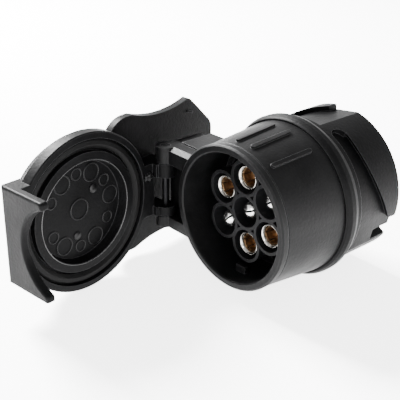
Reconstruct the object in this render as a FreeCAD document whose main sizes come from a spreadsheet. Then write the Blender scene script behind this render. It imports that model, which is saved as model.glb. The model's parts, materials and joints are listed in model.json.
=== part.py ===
import FreeCAD, Part
import math
import os

import Sketcher

# Thirteen-pin plug to seven-pin socket adapter for a trailer's wiring.
# Axes: +Y runs from the socket mouth to the plug end, +Z is up and parallel to the lid's hinge,
# the hinge is on the -X side. Origin: centre of the socket mouth. Millimetres.

V = FreeCAD.Vector
ALONG_Y = FreeCAD.Rotation(V(1, 0, 0), -90)
ALONG_X = FreeCAD.Rotation(V(0, 1, 0), 90)
UPRIGHT = FreeCAD.Rotation()

DIMENSIONS = {
    # socket housing
    "mouth_bore_radius": 18.5,
    "mouth_outer_radius": 20.7,
    "mouth_lip_length": 2.1,
    "parting_depth": 0.35,
    "flare_radius": 22.25,
    "housing_length": 22.2,
    "ledge_radius": 16.6,
    "ledge_front": 16.0,
    "ledge_back": 17.6,
    "rear_bore_radius": 19.2,
    "edge_break": 0.5,
    "rib_front": 5.2,
    "rib_back": 18.2,
    "rib_half_width": 0.65,
    "rib_height": 0.55,
    "rib_sunk": 0.6,
    "key_half_width": 1.8,
    "key_front": 5.7,
    "key_back": 6.9,
    "key_height": 2.1,
    # hinge
    "hinge_x": 28.4,
    "hinge_y": 1.9,
    "knuckle_radius": 2.9,
    "pin_radius": 1.0,
    "lid_pin_hole_radius": 1.05,
    "upper_arm_low": 7.6,
    "upper_arm_high": 12.5,
    "lower_arm_low": 12.6,
    "lower_arm_high": 9.3,
    "arm_front": 0.8,
    "arm_bevel_depth": 1.9,
    "arm_bevel_drop": 0.8,
    "arm_root_x": 14.0,
    "arm_bevel_room": 10.0,
    "block_front": 6.0,
    "block_back": 17.5,
    "block_half_height": 13.0,
    "block_outer_x": 26.0,
    "wall_outer_x": 31.0,
    "arm_outer_x": 29.4,
    "pin_half_length": 12.2,
    # bayonet shell
    "collar_radius": 23.7,
    "collar_front_radius": 23.2,
    "collar_back": 27.2,
    "barrel_radius": 22.2,
    "overall_length": 46.1,
    "rim_chamfer": 0.25,
    "spigot_front": 20.2,
    "shell_bore_radius": 18.7,
    "shell_ledge_radius": 16.4,
    "shell_ledge_back": 27.0,
    "groove_floor_radius": 20.6,
    "groove_front": 29.3,
    "groove_tilt": 35.4,
    "groove_rear_centre": 49.9,
    "notch_front": 39.5,
    "notch_floor_radius": 19.9,
    # contact block and contacts
    "contact_circle": 9.8,
    "contact_turn": 34.0,
    "petal_radius": 5.25,
    "well_radius": 4.4,
    "block_face": 6.7,
    "well_floor": 14.2,
    "block_plate_back": 20.2,
    "contact_front": 8.4,
    "split_pin_front": 7.2,
    "sleeve_radius": 3.4,
    "sleeve_bore_radius": 2.65,
    "socket_pin_radius": 2.45,
    "tail_radius": 1.6,
    "tail_back": 24.0,
    # thirteen-pin carrier
    "carrier_radius": 18.4,
    "carrier_front": 27.4,
    "carrier_back": 34.0,
    "boss_radius": 15.9,
    "boss_back": 36.2,
    "ring_front": 34.3,
    "ring_back": 35.7,
    "ring_bore_radius": 16.4,
    "plug_pin_radius": 1.15,
    "plug_pin_shoulder_radius": 1.4,
    "outer_pin_circle": 12.4,
    "inner_pin_circle": 6.2,
    "split_slit_width": 0.6,
    "plug_pin_front": 25.6,
    "plug_pin_back": 41.4,
    # lid
    "lid_open_angle": 84.2,
    "lid_radius": 23.0,
    "lid_rim_plane": 1.6,
    "lid_back_plane": 7.1,
    "lid_floor_plane": 4.9,
    "lid_inner_ring_plane": 2.15,
    "lid_inner_ring_radius": 17.35,
    "lid_recess_radius": 14.9,
    "lid_rim_bore_radius": 21.1,
    "seal_seat_plane": 4.0,
    "seal_crest_plane": 2.25,
    "seal_inner_radius": 18.1,
    "seal_outer_radius": 20.9,
    "lever_back_plane": 9.5,
    "lever_end": 27.5,
    "lever_start": 16.0,
    "lever_half_height": 21.3,
    "lever_end_bevel": 10.4,
    "lever_end_round": 5.0,
    "lever_start_round": 8.0,
    "waist_half_height": 19.1,
    "waist_radius": 34.0,
    "waist_x": 6.0,
    "hook_inner_x": 49.4,
    "hook_outer_x": 51.7,
    "hook_half_height": 14.1,
    "hook_reach": 9.3,
    "hook_arc_radius": 12.6,
    "hook_arc_plane": 13.1,
    "hook_tip_round": 0.9,
    "hook_edge_round": 0.8,
    "upper_knuckle_low": 3.2,
    "upper_knuckle_high": 7.3,
    "lower_knuckle_low": 9.0,
    "lower_knuckle_high": 6.2,
    "web_inner_x": 3.2,
    "web_outer_x": 8.0,
}

# angles run from +X towards +Z
GROOVE_STARTS = (-13.0, 98.0, 222.5)
GROOVE_SWEEP = 81.0
GROOVE_LOW_POINT = 63.0
GROOVE_MOUTH_SPAN = 20.0
NOTCH_SPAN = 9.0
RIB_ANGLES = (95.0, 80.0, 58.0)
SLEEVE_STEPS = (60, 120, 240, 300)
# each split pin: its place on the contact circle and the angle of its slit
SPLIT_PINS = ((None, 19.0), (0, 34.0), (180, 47.0))
OUTER_PLUG_PINS = 8
INNER_PLUG_PINS = 5

doc = FreeCAD.newDocument("trailer_adapter")
sheet = doc.addObject("Spreadsheet::Sheet", "dims")
for row, (alias, value) in enumerate(DIMENSIONS.items(), start=1):
    sheet.set("A%d" % row, alias)
    sheet.set("B%d" % row, str(value))
    sheet.setAlias("B%d" % row, alias)
doc.recompute()


def dim(alias):
    """Value of one driving dimension."""
    return float(sheet.get(alias))


def bound(expression):
    """Expression text with every dimension name pointing at the sheet."""
    words = []
    word = ""
    for letter in expression + " ":
        if letter.isalnum() or letter == "_":
            word += letter
            continue
        words.append("dims." + word if word in DIMENSIONS else word)
        words.append(letter)
        word = ""
    return "".join(words).strip()


def bind(obj, **expressions):
    """Drive properties of an object from the sheet."""
    for name, expression in expressions.items():
        obj.setExpression(name, bound(expression))
    return obj


def placed(obj, base, rotation=UPRIGHT):
    """Place an object; base holds three expressions."""
    obj.Placement = FreeCAD.Placement(V(0, 0, 0), rotation)
    for axis, expression in zip("xyz", base):
        obj.setExpression(".Placement.Base." + axis, bound(expression))
    return obj


def box(name, low, high, rotation=UPRIGHT):
    """Box between two corners given as expressions."""
    obj = doc.addObject("Part::Box", name)
    bind(
        obj,
        Length="(%s) - (%s)" % (high[0], low[0]),
        Width="(%s) - (%s)" % (high[1], low[1]),
        Height="(%s) - (%s)" % (high[2], low[2]),
    )
    return placed(obj, low, rotation)


def cylinder(name, radius, length, base, rotation=ALONG_Y, angle=None):
    """Cylinder, or a sector of one, starting at base."""
    obj = doc.addObject("Part::Cylinder", name)
    bind(obj, Radius=radius, Height=length)
    if angle is not None:
        obj.Angle = angle
    return placed(obj, base, rotation)


def fuse(name, shapes):
    """Union of several objects."""
    obj = doc.addObject("Part::MultiFuse", name)
    obj.Shapes = shapes
    obj.Refine = True
    return obj


def cut(name, base, tool):
    """Base with the tool removed."""
    obj = doc.addObject("Part::Cut", name)
    obj.Base = base
    obj.Tool = tool
    obj.Refine = True
    return obj


def common(name, first, second):
    """Space shared by two objects."""
    obj = doc.addObject("Part::MultiCommon", name)
    obj.Shapes = [first, second]
    return obj


def origin_plane(body, role):
    """One of the body's own origin planes."""
    return next(item for item in body.Origin.OriginFeatures if item.Role == role)


def turned(name, corners):
    """Body turned about Y from (radius, y) corner expressions in the XY plane."""
    body = doc.addObject("PartDesign::Body", name)
    sketch = body.newObject("Sketcher::SketchObject", name + "_profile")
    sketch.AttachmentSupport = [(origin_plane(body, "XY_Plane"), "")]
    sketch.MapMode = "FlatFace"
    numbers = [tuple(value_of(text) for text in corner) for corner in corners]
    for index, start in enumerate(numbers):
        end = numbers[(index + 1) % len(numbers)]
        sketch.addGeometry(Part.LineSegment(V(*start, 0), V(*end, 0)), False)
    for index in range(len(corners)):
        follower = (index + 1) % len(corners)
        sketch.addConstraint(Sketcher.Constraint("Coincident", index, 2, follower, 1))
    for index, corner in enumerate(corners):
        for kind, position in (("DistanceX", 0), ("DistanceY", 1)):
            value = numbers[index][position]
            if abs(value) < 1e-9:
                axis = -2 if position == 0 else -1
                sketch.addConstraint(Sketcher.Constraint("PointOnObject", index, 1, axis))
                continue
            number = sketch.addConstraint(Sketcher.Constraint(kind, -1, 1, index, 1, value))
            sketch.setExpression("Constraints[%d]" % number, bound(corner[position]))
    turn = body.newObject("PartDesign::Revolution", name + "_turn")
    turn.Profile = sketch
    turn.ReferenceAxis = (sketch, ["V_Axis"])
    turn.Angle = 360
    body.Tip = turn
    return body


def value_of(text):
    """Number of an expression made of dimensions, numbers, + and -."""
    total = 0.0
    sign = 1.0
    for token in text.replace("-", " - ").replace("+", " + ").split():
        if token in "+-":
            sign = -1.0 if token == "-" else 1.0
            continue
        total += sign * (dim(token) if token in DIMENSIONS else float(token))
        sign = 1.0
    return total


def polar(radius, degrees):
    """X and Z expressions of a point at an angle from +X towards +Z."""
    angle = math.radians(degrees)
    return "%s * %.6f" % (radius, math.cos(angle)), "%s * %.6f" % (radius, math.sin(angle))


def sector(name, inner, outer, front, back, low_angle, high_angle):
    """Ring sector about Y between two angles measured from +X towards +Z."""
    # a cylinder turned to lie along +Y counts its angle from +X towards -Z
    turn = FreeCAD.Rotation(V(0, 1, 0), -high_angle).multiply(ALONG_Y)
    span = high_angle - low_angle
    length = "(%s) - (%s)" % (back, front)
    whole = cylinder(name + "_outer", outer, length, ("0", front, "0"), turn, span)
    core = cylinder(name + "_core", inner, length + " + 2", ("0", "(%s) - 1" % front, "0"))
    return cut(name, whole, core)


def node(obj, label):
    """Give the finished sub-part its node name."""
    obj.Label = label
    nodes.append(obj)
    return obj


nodes = []

# ---------------------------------------------------------------- socket housing
tube = turned("housing_tube", [
    ("mouth_bore_radius", "0.3"),
    ("mouth_bore_radius + 0.3", "0"),
    ("mouth_outer_radius - edge_break", "0"),
    ("mouth_outer_radius", "edge_break"),
    ("mouth_outer_radius", "mouth_lip_length"),
    ("mouth_outer_radius - parting_depth", "mouth_lip_length + 0.15"),
    ("mouth_outer_radius - parting_depth", "mouth_lip_length + 0.4"),
    ("mouth_outer_radius - 0.1", "mouth_lip_length + 0.55"),
    ("flare_radius", "housing_length"),
    ("rear_bore_radius", "housing_length"),
    ("rear_bore_radius", "ledge_back"),
    ("ledge_radius", "ledge_back"),
    ("ledge_radius", "ledge_front"),
    ("mouth_bore_radius", "ledge_front"),
])

# the upper arm's front edge is bevelled
arm_bevel = doc.addObject("Part::Box", "arm_bevel")
bind(arm_bevel, Length="hinge_x", Width="arm_bevel_room", Height="arm_bevel_room")
bevel_angle = math.degrees(math.atan2(dim("arm_bevel_drop"), dim("arm_bevel_depth")))
placed(arm_bevel, ("-hinge_x", "arm_front", "upper_arm_high - arm_bevel_drop"),
       FreeCAD.Rotation(V(1, 0, 0), bevel_angle))
hinge_parts = [tube]
hinge_parts.append(box(
    "hinge_block",
    ("-block_outer_x", "block_front", "-block_half_height"),
    ("-arm_root_x", "block_back", "block_half_height"),
))
for side, low, high in (
    ("upper", "upper_arm_low", "upper_arm_high"),
    ("lower", "-lower_arm_low", "-lower_arm_high"),
):
    arm = box(side + "_arm", ("-hinge_x", "arm_front", low), ("-arm_root_x", "block_front + 0.5", high))
    hinge_parts.append(cut("upper_arm_bevelled", arm, arm_bevel) if side == "upper" else arm)
    hinge_parts.append(box(
        side + "_neck",
        ("-arm_outer_x", "hinge_y + 0.4", low),
        ("-hinge_x + 2", "block_front + 0.5", high),
    ))
    hinge_parts.append(cylinder(
        side + "_knuckle", "knuckle_radius", "(%s) - (%s)" % (high, low),
        ("-hinge_x", "hinge_y", low), UPRIGHT))

# wall behind the pin, between the two arms
hinge_parts.append(box(
    "hinge_wall",
    ("-wall_outer_x", "block_front", "-lower_arm_low"),
    ("-block_outer_x + 1", "block_back", "upper_arm_high - arm_bevel_drop"),
))

# finger ribs with round ends, lying along the flared tube
rib_length = dim("rib_back") - dim("rib_front")
flare_length = dim("housing_length") - dim("mouth_lip_length")
flare_rise = (dim("flare_radius") - dim("mouth_outer_radius")) / flare_length
slope = FreeCAD.Rotation(V(0, 0, 1), -math.degrees(math.atan(flare_rise)))
rib_foot = (dim("mouth_outer_radius") - dim("rib_sunk")
            + flare_rise * (dim("rib_front") - dim("mouth_lip_length")))
for index, angle in enumerate(RIB_ANGLES):
    outward = FreeCAD.Rotation(V(0, 1, 0), -angle)
    along = outward.multiply(slope)
    start = outward.multVec(V(rib_foot, dim("rib_front"), 0))
    bar = doc.addObject("Part::Box", "rib_%d" % index)
    bind(bar, Length="rib_sunk + rib_height", Width="rib_back - rib_front", Height="2 * rib_half_width")
    bar.Placement = FreeCAD.Placement(start + along.multVec(V(0, 0, -dim("rib_half_width"))), along)
    hinge_parts.append(bar)
    for end_name, offset in (("front", 0.0), ("back", rib_length)):
        end = doc.addObject("Part::Cylinder", "rib_%d_%s" % (index, end_name))
        bind(end, Radius="rib_half_width", Height="rib_sunk + rib_height")
        end.Placement = FreeCAD.Placement(start + along.multVec(V(0, offset, 0)), along.multiply(ALONG_X))
        hinge_parts.append(end)
housing_solid = fuse("housing_solid", hinge_parts)

housing_cuts = [
    cylinder("mouth_space", "mouth_bore_radius", "ledge_front", ("0", "0", "0")),
    cylinder("rear_space", "rear_bore_radius", "housing_length - ledge_back + 1",
             ("0", "ledge_back", "0")),
    cylinder("ledge_space", "ledge_radius", "housing_length", ("0", "1", "0")),
    cylinder("pin_hole", "pin_radius", "2 * block_half_height + 4",
             ("-hinge_x", "hinge_y", "-block_half_height - 2"), UPRIGHT),
    cylinder("pin_recess", "pin_radius + 0.5", "2", ("-hinge_x", "hinge_y", "pin_half_length"), UPRIGHT),
]
housing = cut("housing_cut", housing_solid, fuse("housing_cuts", housing_cuts))
key = box("key_block", ("-key_half_width", "key_front", "-mouth_bore_radius - 0.5"),
          ("key_half_width", "key_back", "-mouth_bore_radius + key_height"))
node(fuse("housing_with_key", [housing, key]), "socket_housing")

node(cylinder("hinge_rod", "pin_radius", "2 * pin_half_length + 0.3",
              ("-hinge_x", "hinge_y", "-pin_half_length - 0.3"), UPRIGHT), "hinge_pin")

# ---------------------------------------------------------------- bayonet shell
shell = turned("shell_turned", [
    ("rear_bore_radius", "spigot_front"),
    ("rear_bore_radius", "housing_length"),
    ("collar_front_radius - 0.4", "housing_length"),
    ("collar_front_radius", "housing_length + 0.4"),
    ("collar_radius", "housing_length + 1.6"),
    ("collar_radius", "collar_back - 1.9"),
    ("collar_radius - 0.4", "collar_back - 0.8"),
    ("barrel_radius + 0.3", "collar_back"),
    ("barrel_radius", "collar_back + 0.7"),
    ("barrel_radius", "overall_length - rim_chamfer"),
    ("barrel_radius - rim_chamfer", "overall_length"),
    ("shell_bore_radius + 0.5", "overall_length"),
    ("shell_bore_radius", "overall_length - 0.5"),
    ("shell_bore_radius", "shell_ledge_back"),
    ("shell_ledge_radius", "shell_ledge_back"),
    ("shell_ledge_radius", "spigot_front"),
])


def facing(degrees):
    """Turn about Y that brings +X to an angle, and +Z to the tangent there."""
    return FreeCAD.Rotation(V(0, 1, 0), -degrees)


grooves = []
GROOVE_TOP = "barrel_radius + 2"
SLAB_REACH = 40
RUN_IN_HEIGHT = 12
end_radius = (value_of("groove_rear_centre - groove_front")
              - dim("barrel_radius") * math.tan(math.radians(dim("groove_tilt")))) / 2
for index, start in enumerate(GROOVE_STARTS):
    end = start + GROOVE_SWEEP - math.degrees(end_radius / dim("barrel_radius"))
    sweep = sector("groove_sweep_%d" % index, "groove_floor_radius", GROOVE_TOP, "groove_front",
                   "overall_length", start, end)
    # the rear wall of the groove is one plane cut slantwise across the barrel
    slab = doc.addObject("Part::Box", "groove_slab_%d" % index)
    bind(slab, Length=str(2 * SLAB_REACH), Width=str(SLAB_REACH), Height=str(2 * SLAB_REACH))
    tilt = FreeCAD.Rotation(V(0, 0, 1), -dim("groove_tilt"))
    attitude = facing(start + GROOVE_LOW_POINT).multiply(tilt)
    corner = attitude.multVec(V(-SLAB_REACH, -SLAB_REACH, -SLAB_REACH))
    corner += V(0, dim("groove_rear_centre"), 0)
    slab.Placement = FreeCAD.Placement(corner, attitude)
    grooves.append(common("groove_run_%d" % index, sweep, slab))
    # rounded closed end
    tip = doc.addObject("Part::Cylinder", "groove_tip_%d" % index)
    bind(tip, Height="4")
    tip.Radius = end_radius
    outward = facing(end)
    foot = outward.multVec(V(dim("groove_floor_radius"), dim("groove_front") + end_radius, 0))
    tip.Placement = FreeCAD.Placement(foot, outward.multiply(ALONG_X))
    grooves.append(tip)
    # flat run-in from the rim, fading out of the barrel
    run_in = doc.addObject("Part::Box", "groove_run_in_%d" % index)
    bind(run_in, Length="6", Width="overall_length + 1 - groove_front", Height=str(RUN_IN_HEIGHT))
    outward = facing(start)
    foot = outward.multVec(V(dim("groove_floor_radius"), dim("groove_front"), -RUN_IN_HEIGHT))
    run_in.Placement = FreeCAD.Placement(foot, outward)
    grooves.append(run_in)
grooves.append(sector(
    "rim_notch", "notch_floor_radius", GROOVE_TOP, "notch_front", "overall_length + 1",
    GROOVE_STARTS[0] - GROOVE_MOUTH_SPAN, GROOVE_STARTS[0] - GROOVE_MOUTH_SPAN + NOTCH_SPAN))
node(cut("shell_cut", shell, fuse("grooves", grooves)), "bayonet_shell")

node(turned("snap_ring_turned", [
    ("ring_bore_radius", "ring_front"),
    ("shell_bore_radius", "ring_front"),
    ("shell_bore_radius", "ring_back"),
    ("ring_bore_radius + 0.6", "ring_back"),
    ("ring_bore_radius", "ring_back - 0.6"),
]), "carrier_snap_ring")

# ---------------------------------------------------------------- seven-pin contact block
centres = [("0", "0")]
for step in range(0, 360, 60):
    centres.append(polar("contact_circle", dim("contact_turn") + step))
petals = []
wells = []
for index, (x, z) in enumerate(centres):
    petals.append(cylinder("petal_%d" % index, "petal_radius", "block_plate_back - block_face",
                           (x, "block_face", z)))
    wells.append(cylinder("well_%d" % index, "well_radius", "well_floor - block_face + 1",
                          (x, "block_face - 1", z)))
    wells.append(cylinder("tail_hole_%d" % index, "tail_radius", "block_plate_back", (x, "block_face", z)))
petals.append(cylinder("block_plate", "rear_bore_radius", "block_plate_back - ledge_back",
                       ("0", "ledge_back", "0")))
node(cut("block_cut", fuse("block_solid", petals), fuse("block_wells", wells)), "contact_block")


def contact_tail(name, x, z):
    """Solder tail of a contact, through the block."""
    return cylinder(name, "tail_radius", "tail_back - well_floor", (x, "well_floor", z))


for number, step in enumerate(SLEEVE_STEPS, start=1):
    x, z = polar("contact_circle", dim("contact_turn") + step)
    barrel = cylinder("sleeve_%d_barrel" % number, "sleeve_radius", "well_floor - contact_front",
                      (x, "contact_front", z))
    bore = cylinder("sleeve_%d_bore" % number, "sleeve_bore_radius", "well_floor - contact_front - 0.8",
                    (x, "contact_front", z))
    sleeve = fuse("sleeve_%d_solid" % number, [barrel, contact_tail("sleeve_%d_tail" % number, x, z)])
    node(cut("sleeve_%d_cut" % number, sleeve, bore), "contact_sleeve_%d" % number)

for number, (step, slit_angle) in enumerate(SPLIT_PINS, start=1):
    name = "split_pin_%d" % number
    x, z = ("0", "0") if step is None else polar("contact_circle", dim("contact_turn") + step)
    tip_centre = (x, "split_pin_front + socket_pin_radius", z)
    shank = cylinder(name + "_shank", "socket_pin_radius",
                     "well_floor - split_pin_front - socket_pin_radius", tip_centre)
    tip = doc.addObject("Part::Sphere", name + "_tip")
    bind(tip, Radius="socket_pin_radius")
    placed(tip, tip_centre)
    turn = facing(slit_angle)
    slit = box(name + "_slit", ("-3", "split_pin_front - 1", "0"),
               ("3", "well_floor - 0.8", "split_slit_width"))
    offset = turn.multVec(V(-3, 0, -dim("split_slit_width") / 2))
    placed(slit, ("%s + %.5f" % (x, offset.x), "split_pin_front - 1", "%s + %.5f" % (z, offset.z)), turn)
    pin = fuse(name + "_solid", [shank, tip, contact_tail(name + "_tail", x, z)])
    node(cut(name + "_cut", pin, slit), name)

# ---------------------------------------------------------------- thirteen-pin carrier
carrier_solid = fuse("carrier_solid", [
    cylinder("carrier_disc", "carrier_radius", "carrier_back - carrier_front",
             ("0", "carrier_front", "0")),
    cylinder("carrier_boss", "boss_radius", "boss_back - carrier_back",
             ("0", "carrier_back", "0")),
    box("carrier_key", ("-2.5", "carrier_front + 2", "boss_radius - 2"),
        ("2.5", "boss_back", "ring_bore_radius - 0.3")),
])
outer_step = 360 / OUTER_PLUG_PINS
inner_step = 360 / INNER_PLUG_PINS
plug_centres = []
for index in range(OUTER_PLUG_PINS):
    plug_centres.append(polar("outer_pin_circle", 90 + outer_step * (index + 0.5)))
for index in range(INNER_PLUG_PINS):
    plug_centres.append(polar("inner_pin_circle", 90 + inner_step * index))
plug_holes = []
for index, (x, z) in enumerate(plug_centres):
    plug_holes.append(cylinder("plug_hole_%d" % index, "plug_pin_shoulder_radius",
                               "boss_back - carrier_front + 2", (x, "carrier_front - 1", z)))
node(cut("carrier_cut", carrier_solid, fuse("plug_holes", plug_holes)), "pin_carrier")

for number, (x, z) in enumerate(plug_centres, start=1):
    shoulder = cylinder("plug_pin_%d_shoulder" % number, "plug_pin_shoulder_radius",
                        "boss_back - plug_pin_front", (x, "plug_pin_front", z))
    rod = cylinder("plug_pin_%d_rod" % number, "plug_pin_radius",
                   "plug_pin_back - boss_back - plug_pin_radius + 1", (x, "boss_back - 1", z))
    nose = doc.addObject("Part::Sphere", "plug_pin_%d_nose" % number)
    bind(nose, Radius="plug_pin_radius")
    placed(nose, (x, "plug_pin_back - plug_pin_radius", z))
    node(fuse("plug_pin_%d_solid" % number, [shoulder, rod, nose]), "plug_pin_%02d" % number)

# ---------------------------------------------------------------- lid
# The lid is drawn closed, with its own origin on the hinge axis: X towards the hook, Y into the socket.
LID_CENTRE = "hinge_x"


HINGE_PLACEMENT = (
    "placement(vector(-dims.hinge_x; dims.hinge_y; 0);"
    " rotation(vector(0; 0; 1); -dims.lid_open_angle))"
)


def on_hinge(obj, centred=False):
    """Swing a lid part to its open rest position; a centred part is drawn about the lid's own centre."""
    swing = HINGE_PLACEMENT
    if centred:
        swing += " * placement(vector(dims.hinge_x; 0; 0); rotation(vector(0; 0; 1); 0))"
    obj.setExpression("Placement", swing)
    return obj


cup = turned("lid_cup", [
    ("0", "-lid_back_plane"),
    ("lid_radius - 2.4", "-lid_back_plane"),
    ("lid_radius - 0.8", "-lid_back_plane + 0.7"),
    ("lid_radius", "-lid_back_plane + 2.2"),
    ("lid_radius", "-lid_rim_plane - 0.3"),
    ("lid_radius - 0.3", "-lid_rim_plane"),
    ("lid_rim_bore_radius", "-lid_rim_plane"),
    ("lid_rim_bore_radius", "-seal_seat_plane"),
    ("lid_inner_ring_radius", "-seal_seat_plane"),
    ("lid_inner_ring_radius", "-lid_inner_ring_plane"),
    ("lid_recess_radius", "-lid_inner_ring_plane"),
    ("lid_recess_radius - 0.7", "-lid_floor_plane"),
    ("0", "-lid_floor_plane"),
])
placed(cup, (LID_CENTRE, "0", "0"))

lever_box = box("lever_box", ("-lever_end", "-lever_back_plane", "-lever_half_height"),
                ("lever_start", "-lid_back_plane", "lever_half_height"))
doc.recompute()


def upright_edges(obj, at_end):
    """Numbers of the edges along Y at the lever's outer end or beside the lid."""
    numbers = []
    for number, edge in enumerate(obj.Shape.Edges, start=1):
        first, last = edge.Vertexes[0].Point, edge.Vertexes[-1].Point
        if abs(first.y - last.y) > 1 and (first.x < 0) == at_end:
            numbers.append(number)
    return numbers


lever_bevel = doc.addObject("Part::Chamfer", "lever_bevel")
lever_bevel.Base = lever_box
bevel = dim("lever_end_bevel")
lever_bevel.Edges = [(number, bevel, bevel) for number in upright_edges(lever_box, True)]
doc.recompute()
lever_round = doc.addObject("Part::Fillet", "lever_round")
lever_round.Base = lever_bevel
corner_edges = []
for at_end, alias in ((True, "lever_end_round"), (False, "lever_start_round")):
    radius = dim(alias)
    corner_edges += [(number, radius, radius) for number in upright_edges(lever_bevel, at_end)]
lever_round.Edges = corner_edges
waist_cuts = []
for side in ("", "-"):
    waist_cuts.append(cylinder(
        "waist_%s" % ("low" if side else "high"), "waist_radius", "6",
        ("-waist_x", "-lever_back_plane - 1", "%s(waist_half_height + waist_radius)" % side)))
lever = cut("lever", lever_round, fuse("waist_cuts", waist_cuts))

back_plate = cylinder("back_plate", "lid_radius - 3", "lever_back_plane - lid_back_plane",
                      (LID_CENTRE, "-lever_back_plane", "0"))
hook_plate = box("hook_plate", ("hook_inner_x", "-lid_back_plane", "-hook_half_height"),
                 ("hook_outer_x", "hook_reach", "hook_half_height"))
hook_arc = cylinder("hook_arc", "hook_arc_radius", "10",
                    ("hook_inner_x - 4", "hook_arc_plane", "0"), ALONG_X)
hook_cut = cut("hook_cut", hook_plate, hook_arc)
doc.recompute()


def hook_edges():
    """Rounding for the hook's outer outline and for the corners of its two tips."""
    face = dim("hook_outer_x")
    chosen = []
    for number, edge in enumerate(hook_cut.Shape.Edges, start=1):
        first, last = edge.Vertexes[0].Point, edge.Vertexes[-1].Point
        if abs(first.x - last.x) > 1:
            if first.y > 0:
                chosen.append((number, dim("hook_tip_round"), dim("hook_tip_round")))
        elif abs(first.x - face) < 0.01:
            chosen.append((number, dim("hook_edge_round"), dim("hook_edge_round")))
    return chosen


hook_rounded = doc.addObject("Part::Fillet", "hook_rounded")
hook_rounded.Base = hook_cut
hook_rounded.Edges = hook_edges()
tab = box("hook_tab", (LID_CENTRE + " + 12", "-lid_back_plane", "-hook_half_height"),
          ("hook_inner_x + 1", "-lid_rim_plane", "hook_half_height"))
web = box("hinge_web", ("web_inner_x", "-lever_back_plane + 1", "-lower_knuckle_low"),
          ("web_outer_x", "-lid_rim_plane", "upper_knuckle_high"))
lid_extras = [hook_rounded, tab, web]
for side, low, high in (
    ("upper", "upper_knuckle_low", "upper_knuckle_high"),
    ("lower", "-lower_knuckle_low", "-lower_knuckle_high"),
):
    lid_extras.append(cylinder(
        "lid_%s_knuckle" % side, "knuckle_radius", "(%s) - (%s)" % (high, low),
        ("0", "0", low), UPRIGHT))
    lid_extras.append(box(
        "lid_%s_arm" % side, ("-1.4", "-lever_back_plane + 1", low),
        ("web_inner_x + 0.5", "0", high)))
lid_space = cylinder("lid_space", "lid_rim_bore_radius + 0.5", "20",
                     (LID_CENTRE, "-lid_back_plane + 1", "0"))
lid_clearance = fuse("lid_clearance", [lid_space, hook_arc])
lid_frame = cut("lid_frame", fuse("lid_extra_solid", lid_extras), lid_clearance)
lid_bore = cylinder("lid_pin_bore", "lid_pin_hole_radius", "40", ("0", "0", "-20"), UPRIGHT)
lid_solid = fuse("lid_solid", [cup, lever, back_plate, lid_frame])
node(on_hinge(cut("lid_cut", lid_solid, lid_bore)), "lid_cover")

seal = turned("lid_seal_turned", [
    ("seal_inner_radius", "-seal_seat_plane"),
    ("seal_outer_radius", "-seal_seat_plane"),
    ("seal_outer_radius", "-seal_crest_plane - 0.5"),
    ("seal_outer_radius - 0.7", "-seal_crest_plane"),
    ("seal_inner_radius + 1.1", "-seal_crest_plane"),
    ("seal_inner_radius", "-seal_crest_plane - 0.8"),
])
node(on_hinge(seal, centred=True), "lid_seal")

doc.recompute()

# ---------------------------------------------------------------- checks and export
for obj in doc.Objects:
    if "Invalid" in obj.State or "Error" in obj.State:
        raise RuntimeError("%s is not valid: %s" % (obj.Label, obj.State))
os.makedirs("parts", exist_ok=True)
for obj in nodes:
    if obj.Shape.isNull() or not obj.Shape.isValid():
        raise RuntimeError("%s has no valid shape" % obj.Label)
    obj.Shape.exportStep(os.path.join("parts", obj.Label + ".step"))
    bounds = obj.Shape.BoundBox
    print(obj.Label, len(obj.Shape.Solids), round(obj.Shape.Volume, 1),
          [round(value, 1) for value in (bounds.XMin, bounds.YMin, bounds.ZMin)],
          [round(value, 1) for value in (bounds.XMax, bounds.YMax, bounds.ZMax)])
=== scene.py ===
import json
import math

import bmesh
import bpy
from mathutils import Matrix, Vector


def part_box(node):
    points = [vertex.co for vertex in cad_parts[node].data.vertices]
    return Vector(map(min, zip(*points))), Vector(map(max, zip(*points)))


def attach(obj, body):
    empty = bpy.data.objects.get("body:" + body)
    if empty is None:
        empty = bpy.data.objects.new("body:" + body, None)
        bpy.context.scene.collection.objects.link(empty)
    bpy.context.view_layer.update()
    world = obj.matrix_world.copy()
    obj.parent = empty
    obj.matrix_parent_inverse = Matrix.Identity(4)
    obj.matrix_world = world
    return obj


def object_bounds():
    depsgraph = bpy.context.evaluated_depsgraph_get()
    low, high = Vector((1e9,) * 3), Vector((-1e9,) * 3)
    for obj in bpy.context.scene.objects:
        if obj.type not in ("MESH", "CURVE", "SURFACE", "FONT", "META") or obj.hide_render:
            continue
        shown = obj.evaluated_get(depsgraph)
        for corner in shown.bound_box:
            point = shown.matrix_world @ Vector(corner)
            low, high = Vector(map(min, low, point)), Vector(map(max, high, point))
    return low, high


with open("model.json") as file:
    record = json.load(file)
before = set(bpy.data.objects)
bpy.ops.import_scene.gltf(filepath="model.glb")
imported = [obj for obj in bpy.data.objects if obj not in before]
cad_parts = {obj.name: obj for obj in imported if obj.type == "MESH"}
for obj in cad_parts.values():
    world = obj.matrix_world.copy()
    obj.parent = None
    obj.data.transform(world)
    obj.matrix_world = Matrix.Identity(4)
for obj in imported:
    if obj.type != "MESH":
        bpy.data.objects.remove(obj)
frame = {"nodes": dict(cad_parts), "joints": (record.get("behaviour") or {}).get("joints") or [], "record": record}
CAD_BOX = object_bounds()
MM = 0.001

# ---------------------------------------------------------------- shader nodes
# most of a noise's values lie between its low and its high
NOISE_ROUGHNESS = 0.55
NOISE_LOW = 0.3
NOISE_HIGH = 0.7
COARSE_DETAIL = 4.0
FINE_DETAIL = 2.0
RIPPLE_DETAIL = 1.0
BEVEL_SAMPLES = 6
# cosines of the angle between a softened and a plain normal where the painted edge highlight starts and where it
# is full
EDGE_STARTS = 0.985
EDGE_FULL = 0.8
# grey of the painted highlight along sharp edges
EDGE_HIGHLIGHT_GREY = (0.028, 0.028, 0.029)


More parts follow.
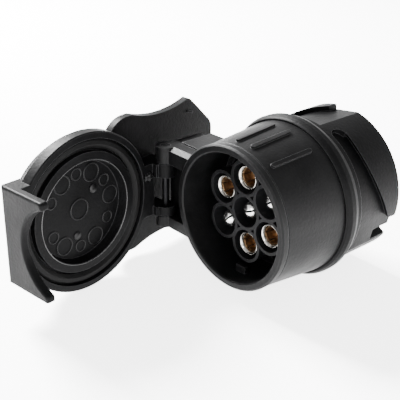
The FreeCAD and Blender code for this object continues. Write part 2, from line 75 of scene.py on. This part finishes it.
def new_material(name):
    """Material with an empty node tree; returns it with its nodes, links and shader."""
    material = bpy.data.materials.new(name)
    material.use_nodes = True
    nodes = material.node_tree.nodes
    links = material.node_tree.links
    nodes.clear()
    output = nodes.new("ShaderNodeOutputMaterial")
    shader = nodes.new("ShaderNodeBsdfPrincipled")
    links.new(shader.outputs["BSDF"], output.inputs["Surface"])
    return material, nodes, links, shader


def noise(nodes, links, scale, detail=COARSE_DETAIL):
    """Noise in object space, in cells per millimetre."""
    place = nodes.new("ShaderNodeTexCoord")
    texture = nodes.new("ShaderNodeTexNoise")
    texture.inputs["Scale"].default_value = scale / MM
    texture.inputs["Detail"].default_value = detail
    texture.inputs["Roughness"].default_value = NOISE_ROUGHNESS
    links.new(place.outputs["Object"], texture.inputs["Vector"])
    return texture.outputs["Fac"]


def ramp(nodes, links, source, low, high, start=NOISE_LOW, end=NOISE_HIGH):
    """Map a value's range from start to end onto low to high."""
    mapping = nodes.new("ShaderNodeMapRange")
    mapping.inputs["From Min"].default_value = start
    mapping.inputs["From Max"].default_value = end
    mapping.inputs["To Min"].default_value = low
    mapping.inputs["To Max"].default_value = high
    links.new(source, mapping.inputs["Value"])
    return mapping.outputs["Result"]


def tint(nodes, links, source, dark, light):
    """Mix two colours by a value."""
    mix = nodes.new("ShaderNodeMix")
    mix.data_type = "RGBA"
    mix.inputs["A"].default_value = (*dark, 1.0)
    mix.inputs["B"].default_value = (*light, 1.0)
    links.new(source, mix.inputs["Factor"])
    return mix.outputs["Result"]


def bump(nodes, links, height, depth, strength, below):
    """Bump of a depth in mm, stacked on another normal."""
    node = nodes.new("ShaderNodeBump")
    node.inputs["Strength"].default_value = strength
    node.inputs["Distance"].default_value = depth * MM
    links.new(height, node.inputs["Height"])
    links.new(below, node.inputs["Normal"])
    return node.outputs["Normal"]


def rounded(nodes, radius):
    """Normal that softens sharp edges."""
    node = nodes.new("ShaderNodeBevel")
    node.samples = BEVEL_SAMPLES
    node.inputs["Radius"].default_value = radius * MM
    return node.outputs["Normal"]


def painted_edge_highlight(nodes, links, soft, colour):
    """Colour with a painted highlight: lighter along sharp edges, where the softened normal turns away from the
    plain one.
    """
    plain = nodes.new("ShaderNodeNewGeometry")
    compare = nodes.new("ShaderNodeVectorMath")
    compare.operation = "DOT_PRODUCT"
    links.new(soft, compare.inputs[0])
    links.new(plain.outputs["Normal"], compare.inputs[1])
    mask = ramp(nodes, links, compare.outputs["Value"], 1.0, 0.0, start=EDGE_FULL, end=EDGE_STARTS)
    mix = nodes.new("ShaderNodeMix")
    mix.data_type = "RGBA"
    links.new(mask, mix.inputs["Factor"])
    links.new(colour, mix.inputs["A"])
    mix.inputs["B"].default_value = (*EDGE_HIGHLIGHT_GREY, 1.0)
    return mix.outputs["Result"]


# ---------------------------------------------------------------- materials
# noise scales are in cells per mm, depths and edge radii in mm
PATCH_SCALE = 0.12
PATCH_SMOOTHER = 0.05
PATCH_ROUGHER = 0.07
RIPPLE_SCALE = 0.35
RIPPLE_DEPTH = 0.03
RIPPLE_STRENGTH = 0.5
PLASTIC_IOR = 1.5
CLOUD_SCALE = 0.8
SCUFF_SCALE = 6.0
SCUFF_DEPTH = 0.004
SCUFF_STRENGTH = 0.6
SCUFF_SMOOTHER = 0.04
SCUFF_ROUGHER = 0.08
METAL_EDGE = 0.12

BLACK = (0.0014, 0.0014, 0.0015)
SOOT = (0.003, 0.003, 0.0032)
ASH = (0.006, 0.006, 0.0065)


def plastic(name, dark, light, roughness, grain, grain_depth, edge=0.3, shine=0.09):
    """Moulded plastic with fine grain, uneven gloss, faint rubbed patches, soft edges and a painted highlight
    along them.
    """
    material, nodes, links, shader = new_material(name)
    patches = noise(nodes, links, PATCH_SCALE)
    fine = noise(nodes, links, grain, detail=FINE_DETAIL)
    ripple = noise(nodes, links, RIPPLE_SCALE, detail=RIPPLE_DETAIL)
    soft = rounded(nodes, edge)
    colour = tint(nodes, links, ramp(nodes, links, patches, 0.0, 1.0), dark, light)
    gloss = ramp(nodes, links, patches, roughness - PATCH_SMOOTHER, roughness + PATCH_ROUGHER)
    wave = bump(nodes, links, ripple, RIPPLE_DEPTH, RIPPLE_STRENGTH, below=soft)
    surface = bump(nodes, links, fine, grain_depth, 1.0, below=wave)
    # the base colour gets a painted highlight along sharp edges
    links.new(painted_edge_highlight(nodes, links, soft, colour), shader.inputs["Base Color"])
    links.new(gloss, shader.inputs["Roughness"])
    links.new(surface, shader.inputs["Normal"])
    shader.inputs["IOR"].default_value = PLASTIC_IOR
    shader.inputs["Specular IOR Level"].default_value = shine
    return material


def metal(name, dark, light, roughness):
    """Plated or drawn metal with light scuffs."""
    material, nodes, links, shader = new_material(name)
    cloud = noise(nodes, links, CLOUD_SCALE)
    scuff = noise(nodes, links, SCUFF_SCALE, detail=FINE_DETAIL)
    soft = rounded(nodes, METAL_EDGE)
    colour = tint(nodes, links, ramp(nodes, links, cloud, 0.0, 1.0), dark, light)
    gloss = ramp(nodes, links, scuff, roughness - SCUFF_SMOOTHER, roughness + SCUFF_ROUGHER)
    links.new(colour, shader.inputs["Base Color"])
    links.new(gloss, shader.inputs["Roughness"])
    links.new(bump(nodes, links, scuff, SCUFF_DEPTH, SCUFF_STRENGTH, below=soft), shader.inputs["Normal"])
    shader.inputs["Metallic"].default_value = 1.0
    return material


PLASTICS = {
    "housing_plastic": dict(dark=BLACK, light=SOOT, roughness=0.46, grain=1.3, grain_depth=0.07),
    "shell_plastic": dict(dark=BLACK, light=SOOT, roughness=0.45, grain=1.3, grain_depth=0.07, shine=0.045),
    "lid_plastic": dict(dark=BLACK, light=SOOT, roughness=0.46, grain=1.3, grain_depth=0.07, shine=0.045),
    "bead_plastic": dict(dark=BLACK, light=SOOT, roughness=0.16, grain=2.6, grain_depth=0.002, shine=0.5),
    "mark_plastic": dict(dark=BLACK, light=SOOT, roughness=0.33, grain=2.6, grain_depth=0.01,
                         edge=0.15, shine=0.16),
    "insulator": dict(dark=SOOT, light=ASH, roughness=0.4, grain=4.0, grain_depth=0.008, edge=0.15),
    "carrier_plastic": dict(dark=BLACK, light=SOOT, roughness=0.4, grain=3.0, grain_depth=0.012),
    "seal_rubber": dict(dark=(0.002, 0.002, 0.002), light=(0.004, 0.004, 0.004), roughness=0.5,
                        grain=2.0, grain_depth=0.015, shine=0.06),
}
METALS = {
    "sleeve_metal": dict(dark=(0.3, 0.29, 0.27), light=(0.55, 0.53, 0.5), roughness=0.12),
    "lining_metal": dict(dark=(0.2, 0.11, 0.055), light=(0.4, 0.25, 0.13), roughness=0.3),
    "pin_metal": dict(dark=(0.85, 0.84, 0.82), light=(0.95, 0.94, 0.92), roughness=0.2),
    "steel": dict(dark=ASH, light=(0.012, 0.012, 0.0125), roughness=0.42),
}
MATERIALS = {name: plastic(name, **look) for name, look in PLASTICS.items()}
MATERIALS.update({name: metal(name, **look) for name, look in METALS.items()})


def dress_frame():
    """Give every CAD node the full material of its slot."""
    slots = {part["node"]: part["material_slot"] for part in frame["record"]["subparts"]}
    for name, node in frame["nodes"].items():
        for index in range(len(node.material_slots)):
            node.material_slots[index].material = MATERIALS[slots[name]]
        if not node.material_slots:
            node.data.materials.append(MATERIALS[slots[name]])


dress_frame()

# ---------------------------------------------------------------- making and placing details
# the lid stands open by the angle that its joint can close, and closes centred on the socket's axis
LID_JOINT = next(joint for joint in frame["joints"] if joint["name"] == "lid_hinge")
HINGE = Vector(LID_JOINT["pos_m"])
LID_ANGLE = math.radians(LID_JOINT["range_deg"][1])
LID_CENTRE = -HINGE.x / MM

# distances off the hinge plane, in mm: the lid's floor, its back and the front of its lever
LID_FLOOR = -4.9
LID_BACK = -9.5
LEVER_FRONT = -7.1

SUNK = 0.1
SHARP_ANGLE = 40
MERGE_DISTANCE = 1e-7


def lid_place(along, across, up):
    """Transform to a spot on the lid, in mm from the hinge; Z points out of the lid's open side.

    The spot is given along the lid away from the hinge, across it towards its open side, and up.
    """
    forward = Vector((math.cos(LID_ANGLE), -math.sin(LID_ANGLE), 0.0))
    outward = Vector((math.sin(LID_ANGLE), math.cos(LID_ANGLE), 0.0))
    upward = Vector((0.0, 0.0, 1.0))
    spot = HINGE + (forward * along + outward * across + upward * up) * MM
    turn = Matrix((upward.cross(outward), upward, outward)).transposed().to_4x4()
    return Matrix.Translation(spot) @ turn


def lathe(profile, steps, closed=True, span=(0.0, 360.0)):
    """Mesh turned about Z from (radius, height) points in mm, over a span in degrees.

    A closed profile joins its last point to its first.
    """
    mesh = bmesh.new()
    start, end = (math.radians(angle) for angle in span)
    full = span[1] - span[0] >= 360.0
    columns = []
    for step in range(steps if full else steps + 1):
        angle = start + (end - start) * step / steps
        columns.append([
            mesh.verts.new((radius * MM * math.cos(angle), radius * MM * math.sin(angle), height * MM))
            for radius, height in profile])
    rows = len(profile) if closed else len(profile) - 1
    for index in range(steps):
        here = columns[index]
        beyond = columns[(index + 1) % len(columns)]
        for row in range(rows):
            nearby = (row + 1) % len(profile)
            mesh.faces.new((here[row], beyond[row], beyond[nearby], here[nearby]))
    if not full and closed:
        mesh.faces.new(columns[0])
        mesh.faces.new(list(reversed(columns[-1])))
    bmesh.ops.remove_doubles(mesh, verts=mesh.verts, dist=MERGE_DISTANCE)
    bmesh.ops.recalc_face_normals(mesh, faces=mesh.faces)
    return mesh


def ring_section(radius, section):
    """Profile of a ring from (out from its radius, height) points in mm."""
    return [(radius + out, height) for out, height in section]


def piece(name, mesh, place, body, slot, look=None):
    """Finished detail: placed, smooth, dressed and riding on a body; a look differs from its slot's."""
    data = bpy.data.meshes.new(name)
    mesh.transform(place)
    mesh.to_mesh(data)
    mesh.free()
    data.shade_smooth()
    obj = bpy.data.objects.new(name, data)
    bpy.context.scene.collection.objects.link(obj)
    data.set_sharp_from_angle(angle=math.radians(SHARP_ANGLE))
    data.materials.append(MATERIALS[look or slot])
    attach(obj, body)


# ---------------------------------------------------------------- mould marks on the lid's floor
RING_HALF = 0.18
RING_HEIGHT = 0.26
RING_CREST = RING_HALF * 0.4
RING_SHOULDER = RING_HEIGHT * 0.6
RING_SECTION = (
    (-RING_HALF, -SUNK), (RING_HALF, -SUNK), (RING_HALF, RING_SHOULDER),
    (RING_CREST, RING_HEIGHT), (-RING_CREST, RING_HEIGHT), (-RING_HALF, RING_SHOULDER),
)
RING_STEPS = 40

# the dot's dome rises from the rings' height, over a shoulder at a share of the dot's radius
DOT_SHARE = 0.7
DOT_SHOULDER = RING_HEIGHT * 1.7
DOT_CROWN = RING_HEIGHT * 2.0
DOT_STEPS = 32

CENTRE_RING = 3.0
CENTRE_SHIFT = 0.3
RING_CIRCLE = 10.9
LARGE_RING = 2.6
SMALL_RING = 1.65
# angle about the lid's centre in degrees, and radius
LID_RINGS = (
    (58, LARGE_RING), (86, SMALL_RING), (114, LARGE_RING), (144, SMALL_RING),
    (173, LARGE_RING), (209, SMALL_RING), (243, LARGE_RING), (273, SMALL_RING),
    (304, LARGE_RING), (332, SMALL_RING), (28, SMALL_RING),
)
# angle, distance from the lid's centre, and radius
LID_DOTS = ((135, 7.0, 1.3), (281, 7.6, 1.2))


def raised_ring(radius):
    """Low rounded ring standing on Z = 0, sunk a little so that it has no gap."""
    return lathe(ring_section(radius, RING_SECTION), RING_STEPS)


def raised_dot(radius):
    """Low domed dot standing on Z = 0."""
    outline = [(0.0, -SUNK), (radius, -SUNK), (radius, RING_HEIGHT), (radius * DOT_SHARE, DOT_SHOULDER),
               (0.0, DOT_CROWN)]
    return lathe(outline, DOT_STEPS, closed=False)


def add_mark(name, mesh, angle, distance):
    """Mark on the lid's floor at an angle and a distance from the lid's centre."""
    turn = math.radians(angle)
    place = lid_place(LID_CENTRE + distance * math.cos(turn), LID_FLOOR, distance * math.sin(turn))
    piece(name, mesh, place, "lid", "lid_plastic", look="mark_plastic")


def add_lid_marks():
    """Generic mould marks: a centre ring, rings round it and two dots."""
    piece("lid_ring_centre", raised_ring(CENTRE_RING),
          lid_place(LID_CENTRE + CENTRE_SHIFT, LID_FLOOR, CENTRE_SHIFT),
          "lid", "lid_plastic", look="mark_plastic")
    for number, (angle, radius) in enumerate(LID_RINGS, start=1):
        add_mark("lid_ring_%02d" % number, raised_ring(radius), angle, RING_CIRCLE)
    for number, (angle, distance, radius) in enumerate(LID_DOTS, start=1):
        add_mark("lid_dot_%d" % number, raised_dot(radius), angle, distance)


add_lid_marks()

# ---------------------------------------------------------------- bead on the lid's inner ring
BEAD_RADIUS = 15.1
BEAD_PLANE = -2.2
BEAD_THICKNESS = 0.17
BEAD_STEPS = 128
BEAD_SIDES = 12


def add_lid_bead():
    """Smooth bead round the crest of the lid's inner ring."""
    angles = [math.tau * side / BEAD_SIDES for side in range(BEAD_SIDES)]
    section = [(BEAD_THICKNESS * math.cos(angle), BEAD_THICKNESS * math.sin(angle)) for angle in angles]
    piece("lid_bead", lathe(ring_section(BEAD_RADIUS, section), BEAD_STEPS),
          lid_place(LID_CENTRE, BEAD_PLANE, 0.0), "lid", "lid_plastic", look="bead_plastic")


add_lid_bead()

# ---------------------------------------------------------------- linings and rims of the contact sleeves
BORE_MOUNT = next(mount for mount in frame["record"]["mounts"] if mount["name"] == "sleeve_1_bore")
SLEEVE_BORE = BORE_MOUNT["dims"]["r_mm"]
SLEEVES = sorted(name for name in frame["nodes"] if name.startswith("contact_sleeve_"))

# points are (out from the bore's radius, depth behind the sleeve's mouth), so a minus depth is in front
FINGER_SECTION = ((-0.01, 0.5), (-0.15, 0.35), (-0.45, 1.8), (-0.3, 4.9), (-0.01, 4.9))
RIM_SECTION = (
    (-0.02, 0.4), (-0.02, -0.05), (0.4, -0.6), (0.55, -0.66), (0.7, -0.58), (0.77, -0.35), (0.77, 0.4),
)
FINGERS = 6
FINGER_GAP = 8.0
FINGER_STEPS = 8
RIM_STEPS = 48


def lining_mesh():
    """Sprung copper fingers inside a sleeve, along +Z from its mouth."""
    whole = bmesh.new()
    pitch = 360.0 / FINGERS
    for finger in range(FINGERS):
        low = pitch * finger + FINGER_GAP / 2
        part = lathe(ring_section(SLEEVE_BORE, FINGER_SECTION), FINGER_STEPS,
                     span=(low, low + pitch - FINGER_GAP))
        data = bpy.data.meshes.new("finger")
        part.to_mesh(data)
        part.free()
        whole.from_mesh(data)
        bpy.data.meshes.remove(data)
    return whole


def add_linings():
    """Copper lining and a bright rolled rim in each sleeve."""
    inward = Matrix.Rotation(math.radians(-90), 4, "X")
    for number, sleeve in enumerate(SLEEVES, start=1):
        low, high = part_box(sleeve)
        mouth = Vector(((low.x + high.x) / 2, low.y, (low.z + high.z) / 2))
        place = Matrix.Translation(mouth) @ inward
        piece("sleeve_lining_%d" % number, lining_mesh(), place, "housing", "sleeve_metal",
              look="lining_metal")
        piece("sleeve_rim_%d" % number, lathe(ring_section(SLEEVE_BORE, RIM_SECTION), RIM_STEPS), place,
              "housing", "sleeve_metal")


add_linings()

# ---------------------------------------------------------------- lever and lid's back
BAR_SHOULDER = 0.6
BAR_CREST = 0.6
BAR_END_STEPS = 12

GRIP_BARS = 5
GRIP_PITCH = 3.0
GRIP_START = -22.0
GRIP_LENGTH = 20.0
GRIP_WIDTH = 1.1
GRIP_HEIGHT = 0.5

BACK_RING = 17.5
BACK_RING_SECTION = ((-0.6, -SUNK), (0.6, -SUNK), (0.5, 0.4), (0.2, 0.5), (-0.2, 0.5), (-0.5, 0.4))
BACK_RING_STEPS = 96

PIP_ALONG = -17.6
PIP_UP = 16.5
PIP_TURN = 70
PIP_LENGTH = 3.0
PIP_WIDTH = 0.7
PIP_HEIGHT = 0.3


def rounded_bar(length, width, height):
    """Low bar along Y with half-round ends, standing on Z = 0."""
    mesh = bmesh.new()
    straight = (length - width) / 2
    angles = [math.pi * step / BAR_END_STEPS for step in range(BAR_END_STEPS + 1)]
    layers = []
    for level, scale in ((-SUNK, 1.0), (height * BAR_SHOULDER, 1.0), (height, BAR_CREST)):
        radius = width / 2 * scale
        outline = [(radius * math.cos(angle) * end, (straight + radius * math.sin(angle)) * end)
                   for end in (1, -1) for angle in angles]
        layers.append([mesh.verts.new((x * MM, y * MM, level * MM)) for x, y in outline])
    for lower, upper in zip(layers, layers[1:]):
        for index in range(len(lower)):
            beyond = (index + 1) % len(lower)
            mesh.faces.new((lower[index], lower[beyond], upper[beyond], upper[index]))
    mesh.faces.new(layers[-1])
    mesh.faces.new(list(reversed(layers[0])))
    bmesh.ops.recalc_face_normals(mesh, faces=mesh.faces)
    return mesh


def add_back_details():
    """Thumb grips on the back of the lever, a ring behind the lid and a pip on the lever's front."""
    flip = Matrix.Rotation(math.radians(180), 4, "Y")
    for number in range(GRIP_BARS):
        place = lid_place(GRIP_START + number * GRIP_PITCH, LID_BACK, 0.0) @ flip
        piece("lever_grip_%d" % (number + 1), rounded_bar(GRIP_LENGTH, GRIP_WIDTH, GRIP_HEIGHT), place,
              "lid", "lid_plastic")
    piece("lid_back_ring", lathe(ring_section(BACK_RING, BACK_RING_SECTION), BACK_RING_STEPS),
          lid_place(LID_CENTRE, LID_BACK, 0.0) @ flip, "lid", "lid_plastic")
    slant = Matrix.Rotation(math.radians(PIP_TURN), 4, "Z")
    piece("lever_pip", rounded_bar(PIP_LENGTH, PIP_WIDTH, PIP_HEIGHT),
          lid_place(PIP_ALONG, LEVER_FRONT, PIP_UP) @ slant, "lid", "lid_plastic")


add_back_details()

# ---------------------------------------------------------------- gate scar
SCAR_SPOT = (5.6, -1.5, 3.9)
SCAR_RADII = (1.5, 1.2, 1.1)
SCAR_SUBDIVISIONS = 4
# height of each set of lumps, and its waves along X, Y and Z
SCAR_LUMPS = ((0.16, (7.0, 0.0, 3.0)), (0.12, (-5.0, 11.0, 0.0)), (0.07, (13.0, 0.0, 19.0)))


def add_gate_scar():
    """Torn stub where the lid's sprue was broken off, on the web beside the hinge."""
    mesh = bmesh.new()
    bmesh.ops.create_icosphere(mesh, subdivisions=SCAR_SUBDIVISIONS, radius=1.0)
    for vertex in mesh.verts:
        lumps = [height * math.sin(Vector(waves).dot(vertex.co)) for height, waves in SCAR_LUMPS]
        vertex.co *= 1.0 + sum(lumps)
    flatten = Matrix.Diagonal((*(radius * MM for radius in SCAR_RADII), 1.0))
    piece("gate_scar", mesh, lid_place(*SCAR_SPOT) @ flatten, "lid", "lid_plastic", look="mark_plastic")


add_gate_scar()

# ---------------------------------------------------------------- camera
AZIMUTH = math.radians(48.25)
ELEVATION = math.radians(25.03)
ROLL = math.radians(0.68)
DISTANCE = 228.9 * MM
OFFSET_RIGHT = 7.32 * MM
OFFSET_UP = -5.19 * MM
SENSOR = 36.0
LENS = 76.5
CLIP_START = 0.01


def view_axes():
    """Right, up and back directions of the camera."""
    back = Vector((
        math.sin(AZIMUTH) * math.cos(ELEVATION),
        -math.cos(AZIMUTH) * math.cos(ELEVATION),
        math.sin(ELEVATION)))
    level = Vector((0, 0, 1)).cross(back).normalized()
    upright = back.cross(level)
    right = level * math.cos(ROLL) + upright * math.sin(ROLL)
    up = upright * math.cos(ROLL) - level * math.sin(ROLL)
    return right, up, back


def add_camera():
    """Camera above the mouth on the side away from the hinge, with no shift and no depth of field."""
    right, up, back = view_axes()
    data = bpy.data.cameras.new("view")
    data.lens = LENS
    data.sensor_width = SENSOR
    data.clip_start = CLIP_START
    camera = bpy.data.objects.new("view", data)
    bpy.context.scene.collection.objects.link(camera)
    turn = Matrix((right, up, back)).transposed().to_4x4()
    camera.matrix_world = Matrix.Translation(back * DISTANCE - right * OFFSET_RIGHT - up * OFFSET_UP) @ turn
    bpy.context.scene.camera = camera


# ---------------------------------------------------------------- floor and light
FLOOR_SIZE = 6.0
FLOOR_GAP = 0.2 * MM
FLOOR_GREY = 0.9
FLOOR_ROUGHNESS = 0.9
FLOOR_GLOW = 3.8
# heights in the surround run from 0 at the horizon to 1 overhead
HORIZON_LIGHT = 4.0
HORIZON_HEIGHT = 0.1
ZENITH_LIGHT = 1.0
ZENITH_HEIGHT = 0.55


def add_floor():
    """Plain pale floor under the object, glowing like a light table."""
    bottom = CAD_BOX[0][2]
    bpy.ops.mesh.primitive_plane_add(size=FLOOR_SIZE, location=(0, 0, bottom - FLOOR_GAP))
    floor = bpy.context.object
    floor.name = "floor"
    material, _, _, shader = new_material("floor_paper")
    shader.inputs["Base Color"].default_value = (FLOOR_GREY, FLOOR_GREY, FLOOR_GREY, 1.0)
    shader.inputs["Roughness"].default_value = FLOOR_ROUGHNESS
    shader.inputs["Emission Color"].default_value = (1.0, 1.0, 1.0, 1.0)
    shader.inputs["Emission Strength"].default_value = FLOOR_GLOW
    floor.data.materials.append(material)


def add_surround():
    """Surround that is white at the horizon and dimmer overhead."""
    world = bpy.data.worlds.new("surround")
    world.use_nodes = True
    nodes = world.node_tree.nodes
    links = world.node_tree.links
    direction = nodes.new("ShaderNodeTexCoord")
    split = nodes.new("ShaderNodeSeparateXYZ")
    links.new(direction.outputs["Generated"], split.inputs["Vector"])
    strength = ramp(nodes, links, split.outputs["Z"], HORIZON_LIGHT, ZENITH_LIGHT,
                    start=HORIZON_HEIGHT, end=ZENITH_HEIGHT)
    links.new(strength, nodes["Background"].inputs["Strength"])
    nodes["Background"].inputs["Color"].default_value = (1.0, 1.0, 1.0, 1.0)
    bpy.context.scene.world = world


def add_softbox(name, place, aim, size, power):
    """Square area light at a place, facing an aim point, in metres and watts."""
    data = bpy.data.lights.new(name, "AREA")
    data.shape = "SQUARE"
    data.size = size
    data.energy = power
    lamp = bpy.data.objects.new(name, data)
    bpy.context.scene.collection.objects.link(lamp)
    lamp.location = place
    lamp.rotation_euler = (Vector(aim) - Vector(place)).to_track_quat("-Z", "Y").to_euler()


def add_lights():
    """Softboxes: overhead on the hinge side, low opposite it, low in front, and one beside the camera."""
    add_softbox("top_light", place=(-0.5, 0.0, 0.42), aim=(0, 0, 0), size=0.2, power=40.0)
    add_softbox("side_light", place=(0.7, -0.15, 0.02), aim=(0, 0, 0), size=0.3, power=4.0)
    add_softbox("front_light", place=(-0.5, -0.7, 0.0), aim=(-0.02, -0.03, 0), size=0.4, power=1.2)
    add_softbox("camera_light", place=(0.34, -0.66, 0.36), aim=(0, 0.01, 0), size=0.2, power=2.5)


add_camera()
add_floor()
add_surround()
add_lights()
